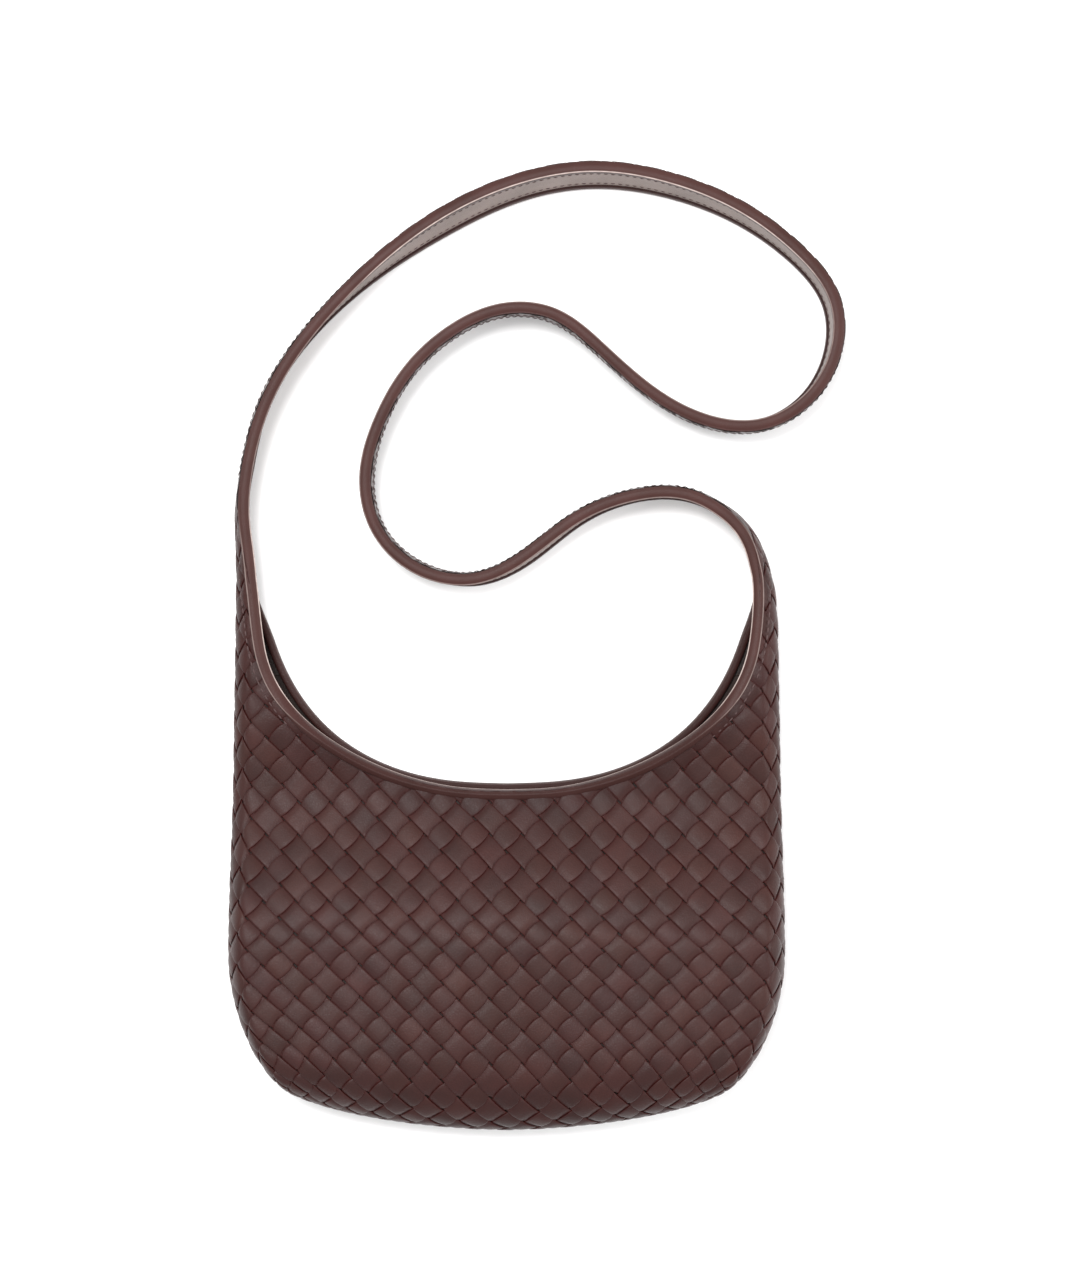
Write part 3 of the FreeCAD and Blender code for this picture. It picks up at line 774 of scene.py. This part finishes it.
# ---------------- building the weave pieces
front_parts, back_parts = Parts(), Parts()
add_wall(front_parts, True)
add_wall(back_parts, False)
weave_front = front_parts.build("woven_front", WOVEN)
weave_back = back_parts.build("woven_back", WOVEN)

pieces_of_band = {}
for piece, first, last, widest in (("woven_root_left", ROOT_ROW, MID_ROW, 9),
                                   ("woven_strap", MID_ROW, ROWS - MID_ROW + 1, 3),
                                   ("woven_root_right", ROWS - MID_ROW + 1, ROWS - ROOT_ROW + 1, 9)):
    parts = Parts()
    add_band(parts, first, last, widest)
    pieces_of_band[piece] = parts.build(piece, HANDLED if piece == "woven_strap" else WOVEN)


# ---------------- edges, in 3-D
STEP_IN = 0.2  # a short way in from an edge, in lattice units


def frames_along(points, normals, outward_hint):
    """Directions along, across and outward at each station of a closed run."""
    longer = np.concatenate([points[-2:], points, points[:2]])
    along = np.gradient(longer, axis=0)[2:-2]
    along /= np.linalg.norm(along, axis=1, keepdims=True)
    normals = normals - along * (normals * along).sum(1, keepdims=True)
    normals /= np.linalg.norm(normals, axis=1, keepdims=True)
    out = np.cross(normals, along)
    out *= np.sign((out * outward_hint).sum(1, keepdims=True))
    return along, normals, out


def mouth_run(side):
    """Mouth edge from left horn to right horn: points, wall normals, directions past the edge."""
    whole = edges[side]
    last = [[np.interp(SPLIT, whole[:, 1], whole[:, 0]), SPLIT]]
    curve = np.concatenate([whole[whole[:, 1] <= SPLIT], last])
    marks = chords(curve)
    at = np.linspace(0, marks[-1], int(round(marks[-1] / STATION)) + 1)
    curve = np.stack([np.interp(at, marks, curve[:, k]) for k in range(2)], -1)
    both = np.concatenate([curve[::-1] * [-1, 1], curve[1:]])
    a, b = both[:, 0], both[:, 1] * side
    middle, normal = lifted(pouch, a, b, -WALL / 2)
    step = np.gradient(both, axis=0)
    inward = np.stack([step[:, 1], -step[:, 0]], -1)
    inward *= STEP_IN / np.linalg.norm(inward, axis=1, keepdims=True)
    inside, _ = lifted(pouch, a + inward[:, 0], b + inward[:, 1] * side, -WALL / 2)
    return middle, normal, middle - inside


def band_run(side, first, last):
    """Edge of the horns and strap between lattice rows, counted from the left."""
    b = np.linspace(first, last, int((last - first) / STATION) + 1)
    near = np.minimum(b, ROWS - b)
    e = reach(near, side) * side
    depth = WALL / 2 + (SKIN - 0.3 - WALL / 2) * root_share(near)
    middle, normal = lifted(band, e, b, -depth)
    inside, _ = lifted(band, e - STEP_IN * side, b, -depth)
    return middle, normal, middle - inside


def rounded_bar():
    """Binding profile: a roll with a fine raised pale line at each top corner."""
    w, far, near = BINDING_THICK / 2, BINDING_END, BINDING_END - ROLL_DEEP
    # one half from the middle of the top, as (across, past the edge, pale line, painted shade down the
    # roll's side)
    half = np.array([
        (0, far, 0, 0), (w * 0.30, far - 0.06, 0, 0), (w * 0.55, far - 0.20, 0, 0),
        (w * 0.74, far - 0.42, 0, 0.12), (w * 0.82, far - 0.46, 0.2, 0), (w * 0.88, far - 0.34, 1, 0),
        (w * 0.97, far - 0.40, 1, 0), (w * 1.02, far - 0.66, 0.5, 0), (w, far - 1.0, 0, 0.25),
        (w * 1.02, far - 1.8, 0, 0.45), (w * 0.98, near + 0.9, 0, 0.7),
        (w * 0.86, near + 0.25, 0, 0.95), (w * 0.62, near, 0, 1)])
    whole = np.concatenate([half, half[:0:-1] * [-1, 1, 1, 1]])
    return whole[:, :2], whole[:, 2], whole[:, 3]


PROFILE, RIM, ROLL_SHADE = rounded_bar()


def tipped(run, most, low, high):
    """The run turned towards the face between two heights, as the mouth's edge stands up."""
    middle = run[0]
    _, normal, out = frames_along(*run)
    share = 1 - between(middle[:, 1], low, high)
    angle = np.radians(most) * share
    cos, sin = np.cos(angle)[:, None], np.sin(angle)[:, None]
    middle = middle - np.array([0, 1.2, 0]) * share[:, None]
    return middle, normal * cos - out * sin, out * cos + normal * sin


def facing(run):
    """The run turned up where the horns narrow, so that its top shows full width."""
    middle = run[0]
    along, normal, out = frames_along(*run)
    share = 0.8 * between(middle[:, 1], 88, 122) * (1 - between(middle[:, 1], 190, 212))
    up = np.array([0, 0, 1.0]) - along * along[:, 2:]
    up /= np.linalg.norm(up, axis=1, keepdims=True)
    out = out * (1 - share[:, None]) + up * share[:, None]
    out /= np.linalg.norm(out, axis=1, keepdims=True)
    side = np.cross(along, out)
    side *= np.sign((side * normal).sum(1, keepdims=True))
    return middle, side, out


def line_strength(name, y, outer):
    """How strong the pale line is at each station: faint on the woven side, and where the strap turns in."""
    inside = 0.25 + 0.5 * (1 - between(y, 182, 210)) + 0.45 * (1 - between(y, 80, 104))
    outside = 0.27 * between(y, 92, 122) * (1 - between(y, 175, 205))
    if "strap" in name:
        inside = 0.25 + 0.5 * between(y, 292, 322)
        outside = outside * 0
    return np.where(outer[None], outside[:, None], inside[:, None])


def sweep(name, frames):
    """A bound edge through the frames of its stations."""
    middle, _, normal, out = frames
    rings = middle[:, None] + normal[:, None] * PROFILE[None, :, :1] + out[:, None] * PROFILE[None, :, 1:]
    pale = RIM[None] * line_strength(name, middle[:, 1], PROFILE[:, 0] > 0)
    # painted shade: down the roll's side from the profile, on the front binding low in the mouth, and on the
    # back bindings below the horns' tops, whose pale line is cut to a trace as they lie in shade
    painted_shade = np.tile(ROLL_SHADE, (len(middle), 1))
    y = middle[:, 1:2]
    if "front" in name:
        painted_shade = np.maximum(painted_shade, 0.5 * (1 - between(y, 90, 122)))
    elif "strap" not in name:
        painted_shade = np.maximum(painted_shade, 0.55 * (1 - between(y, 170, 200)))
        pale = pale * 0.15
    obj = make_object(name, rings.reshape(-1, 3), tube_faces(len(middle), len(PROFILE)),
                      {"rim": pale.ravel(), "groove": painted_shade.ravel()}, BOUND)
    face_outward(obj)
    return obj


def stitches(name, frames, offsets):
    """A row of thread stitches along a run, at each (across, past) offset from the edge's middle."""
    middle, along, normal, out = frames
    marks = chords(middle)
    parts = Parts()
    ring = np.array([(math.cos(k * math.pi / 3), math.sin(k * math.pi / 3)) for k in range(6)])
    lengths = np.array([-1.15, -0.8, 0.0, 0.8, 1.15])
    radii = np.array([0.12, 0.3, 0.36, 0.3, 0.12])
    sink = -0.28 * (lengths / lengths[-1])**2
    faces = tube_faces(len(lengths), len(ring))
    for u, v in offsets:
        line = middle + normal * u + out * v
        for s in np.arange(STITCH / 2, marks[-1], STITCH):
            centre, way, face = (np.array([np.interp(s, marks, run[:, k]) for k in range(3)])
                                 for run in (line, along, normal))
            face = face * np.sign(u)
            side = np.cross(way, face)
            rings = [centre + way * l + face * (d + z * r * 0.6) + side * (w * r)
                     for l, r, d in zip(lengths, radii, sink) for w, z in ring]
            parts.add(rings, faces)
    return parts.build(name, THREAD)


def bound_edge(side):
    """The closed bound edge of one wall and the strap, and where its four lengths begin."""
    climbs = ((ROWS - STRAP_FROM, ROWS - SPLIT), (STRAP_FROM, ROWS - STRAP_FROM), (SPLIT, STRAP_FROM))
    lengths = [mouth_run(side)] + [tuple(v[::-1] for v in band_run(side, *rows)) for rows in climbs]
    run = tuple(np.concatenate([part[k][:-1] for part in lengths]) for k in range(3))
    return run, np.cumsum([0] + [len(part[0]) - 1 for part in lengths])


def framed(run):
    """A run with its frames: middle, along, normal and outward."""
    return (run[0], *frames_along(*run))


def length_of(frames, first, last):
    """The stations of one length; its last is the next one's first."""
    pick = np.arange(first, last + 1) % len(frames[0])
    return tuple(v[pick] for v in frames)


bound, sewn = {}, {}
for side, label in ((1, "front"), (-1, "back")):
    run, starts = bound_edge(side)
    if side > 0:
        run = tipped(run, most=31, low=80, high=122)
        shown = framed(facing(run))
    else:  # the back edge lies on the table
        middle, normal, hint = run
        clear = np.maximum(0, BINDING_THICK / 2 + 0.1 - middle[:, 2]) * smooth(np.abs(normal[:, 2]))
        run = (middle + np.array([0, 0, 1.0]) * clear[:, None], normal, hint)
        shown = framed(run)
    sewn_on = framed(run)
    for k, place in enumerate(("mouth", "root_right", "strap", "root_left")):
        piece, strap = f"{label}_{place}", place == "strap"
        bound[piece] = sweep(f"binding_{piece}", length_of(shown, starts[k], starts[k + 1]))
        near = BINDING_END - STITCH_FROM
        offsets = [(SKIN - 0.2 if strap else WALL / 2 + 0.15, near),
                   (SKIN - BAND - 0.4 if strap else -WALL / 2 - 0.1, near)]
        sewn[piece] = stitches(f"stitching_{piece}", length_of(sewn_on, starts[k], starts[k + 1]), offsets)


# ---------------- linings
def pouch_lining(side):
    """The lining of one wall, drawn back to its bound edge, with its thickness."""
    columns = np.linspace(-COLUMNS, COLUMNS, 153)
    rows = np.concatenate([np.linspace(0.0, row_of(EDGE_FROM_Y), 50),
                           np.linspace(row_of(EDGE_FROM_Y), SPLIT, 60)[1:]])
    u, v = np.meshgrid(columns, rows)
    distance, nearest, _ = past_edge(u, v * side)
    over, drop = distance > -0.06, distance > 0.45
    u = np.where(over, nearest[..., 0] * np.sign(u), u)
    v = np.where(over, nearest[..., 1], v) * side
    top, _ = lifted(pouch, u, v, -LINING_TOP)
    low, _ = lifted(pouch, u, v, -WALL)
    n = u.size
    faces, border = [], {}
    over, drop = over.ravel(), drop.ravel()
    for quad in grid_faces(*u.shape):
        if any(drop[j] for j in quad) or all(over[j] for j in quad):
            continue
        faces += [quad, tuple(j + n for j in reversed(quad))]
        for i, j in zip(quad, quad[1:] + quad[:1]):
            if (j, i) in border:
                del border[j, i]
            else:
                border[i, j] = True
    faces += [(j, i, i + n, j + n) for i, j in border]
    if side < 0:
        faces = [f[::-1] for f in faces]
    points = np.concatenate([top.reshape(-1, 3), low.reshape(-1, 3)])
    used = sorted({i for f in faces for i in f})
    place = {i: k for k, i in enumerate(used)}
    label = "front" if side > 0 else "back"
    return make_object(f"lining_sheet_{label}", points[used], [[place[i] for i in f] for f in faces], {},
                       SHADED_LINING)


def band_sheet(name, first, last, material, depths=None, inset=0.0):
    """A sheet under the weave of horns or strap; depths are of its two faces, else the lining's."""
    rows = int((last - first) / STATION) + 1
    b = np.linspace(first, last, rows)
    near = np.minimum(b, ROWS - b)
    top_e, low_e = reach(near, 1) - inset, reach(near, -1) - inset
    share = np.linspace(-1, 1, 19)
    e = np.where(share[None] > 0, share[None] * top_e[:, None], share[None] * low_e[:, None])
    b = np.broadcast_to(b[:, None], e.shape)
    turned = np.broadcast_to(root_share(near)[:, None], e.shape)
    outer = LINING_TOP + (BAND - STRAP_LINING - LINING_TOP) * turned
    inner = WALL + (BAND - WALL) * turned
    if depths:
        outer, inner = np.array(depths)
    top, _ = lifted(band, e, b, -outer)
    low, _ = lifted(band, e, b, -inner)
    ring = np.concatenate([top, low[:, ::-1]], 1)
    count = ring.shape[1]
    # painted shade on the horns' linings, fading out as the horns turn into the strap
    dark = 1 - between(height_of(near), 158, 202)
    obj = make_object(name, ring.reshape(-1, 3), tube_faces(rows, count),
                      {"groove": np.repeat(dark, count)}, material)
    face_outward(obj)
    return obj


lining_front, lining_back = pouch_lining(1), pouch_lining(-1)
linings = {
    "root_left": band_sheet("lining_root_left", SPLIT, STRAP_FROM, STRAP_LINING_GLARE_AND_SHADE),
    "strap": band_sheet("lining_band", STRAP_FROM, ROWS - STRAP_FROM, STRAP_LINING_GLARE_AND_SHADE),
    "root_right": band_sheet("lining_root_right", ROWS - STRAP_FROM, ROWS - SPLIT, STRAP_LINING_GLARE_AND_SHADE),
}
tape = band_sheet("strap_tape", STRAP_FROM + 0.4, ROWS - STRAP_FROM - 0.4, CORE,
                  depths=(2.2, 2.9), inset=0.14)


# ---------------- inner pocket and zip tapes
def rounded_loop(lo, hi, radius, inset):
    """Points round a rounded rectangle, as many for every size."""
    r = max(radius - inset, 0.3)
    x0, y0, x1, y1 = lo.x + inset + r, lo.y + inset + r, hi.x - inset - r, hi.y - inset - r
    centres = [(x1, y0), (x1, y1), (x0, y1), (x0, y0)]
    loop = []
    for k, centre in enumerate(centres):
        turn = np.radians(90 * (k - 1) + np.linspace(0, 90, 7))
        arc = np.array(centre) + r * np.stack([np.cos(turn), np.sin(turn)], -1)
        ahead = np.array(centres[(k + 1) % 4]) + arc[-1] - np.array(centre)
        share = np.linspace(0, 1, 14 if k % 2 == 0 else 34)[1:-1, None]
        loop += [arc, arc[-1] * (1 - share) + ahead * share]
    return np.concatenate(loop)


pocket_lo, pocket_hi = (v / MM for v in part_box("pocket_panel"))
upper_lo, upper_hi = (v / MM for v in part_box("zip_tape_upper"))
lower_lo, lower_hi = (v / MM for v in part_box("zip_tape_lower"))
ZIP_Y = (upper_lo.y + lower_hi.y) / 2
WINDOW_HALF = 5.5
SEAM_IN, SEAM_DEEP = 2.4, 0.24  # the stitched groove, from the edge and below the face
window_lo = Vector((upper_lo.x + 3, ZIP_Y - WINDOW_HALF, 0))
window_hi = Vector((upper_hi.x - 3, ZIP_Y + WINDOW_HALF, 0))


def pocket_outline(inset):
    return rounded_loop(pocket_lo, pocket_hi, 9.0, inset)


def window_outline(margin):
    return rounded_loop(window_lo, window_hi, 2.0, -margin)


def pocket_face():
    """A folded leather face with a soft rim, stitched in grooves round its edge and round the zip."""
    top, outer, inner = pocket_hi.z, pocket_outline(3.0), window_outline(3.0)
    # loops round the section, each with its depth below the top
    loops = [(pocket_outline(0), top - pocket_lo.z), (pocket_outline(0), 0.7), (pocket_outline(0.2), 0.25),
             (pocket_outline(0.8), 0), (pocket_outline(1.8), 0.05),
             (pocket_outline(SEAM_IN), SEAM_DEEP), (outer, 0.05)]
    for share in np.linspace(0, 1, 9)[1:-1]:
        loop = outer * (1 - share) + inner * share
        loops.append((loop, 0.08 - 0.14 * np.sin(loop[:, 0] / 9 + 1) * np.sin(loop[:, 1] / 7)))
    loops += [(inner, 0.05), (window_outline(SEAM_IN), SEAM_DEEP), (window_outline(1.8), 0.05),
              (window_outline(0.8), 0), (window_outline(0.2), 0.2), (window_outline(0), 0.5),
              (window_outline(0.1), 0.85), (window_outline(1.5), 0.95), (outer, 0.95),
              (pocket_outline(1.0), 1.0), (pocket_outline(0.9), top - pocket_lo.z)]
    rings = [np.column_stack([loop, np.broadcast_to(top - z, len(loop))]) for loop, z in loops]
    rows, n = len(rings), len(outer)
    wrap = n * rows
    faces = [tuple(i % wrap for i in f) for f in grid_faces(rows + 1, n, closed=True)]
    obj = make_object("pocket_face", np.concatenate(rings), faces, {}, POCKETED)
    face_outward(obj)
    return obj


def stitched_loop(name, loop, z):
    points = np.column_stack([loop, np.full(len(loop), z)])
    up = np.tile([0, 0, 1.0], (len(loop), 1))
    return stitches(name, framed((points, up, points - points.mean(0))), [(0.12, 0.0)])


def zip_tape(name, lo, hi, inner, away):
    """A ribbed tape with a corded edge at the teeth."""
    half = [(0.0, 0.0), (0.15, 0.26), (0.5, 0.36), (0.9, 0.28), (1.3, 0.2), (3.0, 0.27), (5.0, 0.22),
            (7.0, 0.27), (9.4, 0.24), (hi.y - lo.y, 0.0)]
    section = np.array(half + [(u, -v) for u, v in half[-2:0:-1]])
    xs = np.arange(lo.x, hi.x, 0.4)
    rib = 1 + 0.22 * np.sin(xs * 2 * math.pi / 1.6)
    rings = [np.column_stack([np.full(len(section), x), inner + away * section[:, 0],
                              (lo.z + hi.z) / 2 + section[:, 1] * swell]) for x, swell in zip(xs, rib)]
    obj = make_object(name, np.concatenate(rings), tube_faces(len(xs), len(section)), {}, TAPE)
    face_outward(obj)
    return obj


seam_z = pocket_hi.z - SEAM_DEEP
pocket = [pocket_face(), stitched_loop("pocket_stitching", pocket_outline(SEAM_IN), seam_z),
          stitched_loop("zip_stitching", window_outline(SEAM_IN), seam_z)]
tapes = [zip_tape("tape_upper", upper_lo, upper_hi, upper_lo.y, 1),
         zip_tape("tape_lower", lower_lo, lower_hi, lower_hi.y, -1)]


# ---------------- movement
def lip_share(points):
    """How far each point of the front follows the lifting lip: 1 at the middle of the mouth."""
    x, y = points[:, 0] / MM, points[:, 1] / MM
    return between(y, 4, 70) * (1 - between(np.abs(x), 12, 96))


def blend_lip(obj):
    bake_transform(obj, "bag", "front_lip", start=(0, 0.02, 0.03), end=(0, 0.075, 0.03))
    co = np.empty(len(obj.data.vertices) * 3)
    obj.data.vertices.foreach_get("co", co)
    share = lip_share(co.reshape(-1, 3)).astype(np.float32)
    obj.data.attributes["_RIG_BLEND"].data.foreach_set("value", share)


def blend_root(obj):
    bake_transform(obj, "bag", "strap", start=(0, 0.163, 0.0129), end=(0, 0.204, 0.0129))


for obj in (weave_front, bound["front_mouth"], sewn["front_mouth"], lining_front):
    blend_lip(obj)
for obj in (weave_back, bound["back_mouth"], sewn["back_mouth"], lining_back):
    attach(obj, "bag")
for end in ("left", "right"):
    for obj in (pieces_of_band[f"woven_root_{end}"], linings[f"root_{end}"], bound[f"front_root_{end}"],
                bound[f"back_root_{end}"], sewn[f"front_root_{end}"], sewn[f"back_root_{end}"]):
        blend_root(obj)
for obj in (pieces_of_band["woven_strap"], linings["strap"], bound["front_strap"], bound["back_strap"],
            sewn["front_strap"], sewn["back_strap"], tape):
    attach(obj, "strap")
for obj in pocket + tapes:
    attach(obj, "bag")

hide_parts("pocket_panel")
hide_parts("zip_tape_upper")
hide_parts("zip_tape_lower")
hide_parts("weave_front", "weave_front_lip")
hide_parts("weave_back")
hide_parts("weave_horn_left")
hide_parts("weave_horn_right")
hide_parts("weave_strap")
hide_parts("lining_front", "lining_front_lip")
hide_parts("lining_back")
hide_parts("lining_horn_left")
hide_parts("lining_horn_right")
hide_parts("lining_strap")
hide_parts("strap_core")
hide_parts("binding_front_lip")
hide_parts("binding_front_left")
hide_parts("binding_front_right")
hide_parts("binding_back")
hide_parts("binding_strap_top")
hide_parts("binding_strap_bottom")

# ---------------- CAD nodes that stay
for node in ("magnet_front", "magnet_back", "zip_teeth_upper", "zip_teeth_lower", "zip_stops",
             "zip_slider", "zip_pin", "zip_pull"):
    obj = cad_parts[node]
    if not obj.material_slots:
        obj.data.materials.append(BRASS)
    for place in obj.material_slots:
        place.material = BRASS

# ---------------- stage and light
floor_mesh = bpy.data.meshes.new("floor")
floor_mesh.from_pydata([(-6, -6, 0), (6, -6, 0), (6, 6, 0), (-6, 6, 0)], [], [(0, 1, 2, 3)])
floor = bpy.data.objects.new("floor", floor_mesh)
bpy.context.collection.objects.link(floor)
floor.location = (0, 0, min(0.0, cad_box[0].z))
m, _, shader = node_material("floor")
shader.inputs["Base Color"].default_value = (0.94, 0.94, 0.94, 1)
shader.inputs["Roughness"].default_value = 0.9
shader.inputs["Specular IOR Level"].default_value = 0.1
floor_mesh.materials.append(m)

world = bpy.data.worlds.new("studio")
world.use_nodes = True
world.node_tree.nodes["Background"].inputs[0].default_value = (1.0, 1.0, 1.0, 1.0)
world.node_tree.nodes["Background"].inputs[1].default_value = 1.20
bpy.context.scene.world = world
bpy.context.scene.view_settings.view_transform = "Standard"


def area_light(name, place, target, size, power):
    data = bpy.data.lights.new(name, "AREA")
    data.shape = "RECTANGLE"
    data.size, data.size_y = size
    data.energy = power
    obj = bpy.data.objects.new(name, data)
    obj.location = place
    obj.rotation_euler = (Vector(target) - Vector(place)).to_track_quat("-Z", "Y").to_euler()
    bpy.context.collection.objects.link(obj)


area_light("key", (-0.36, 0.7, 2.25), (0.0, 0.14, 0.0), (0.6, 0.6), 44.0)
area_light("fill", (1.5, 0.2, 0.9), (0.08, 0.05, 0.0), (0.8, 0.8), 13.0)
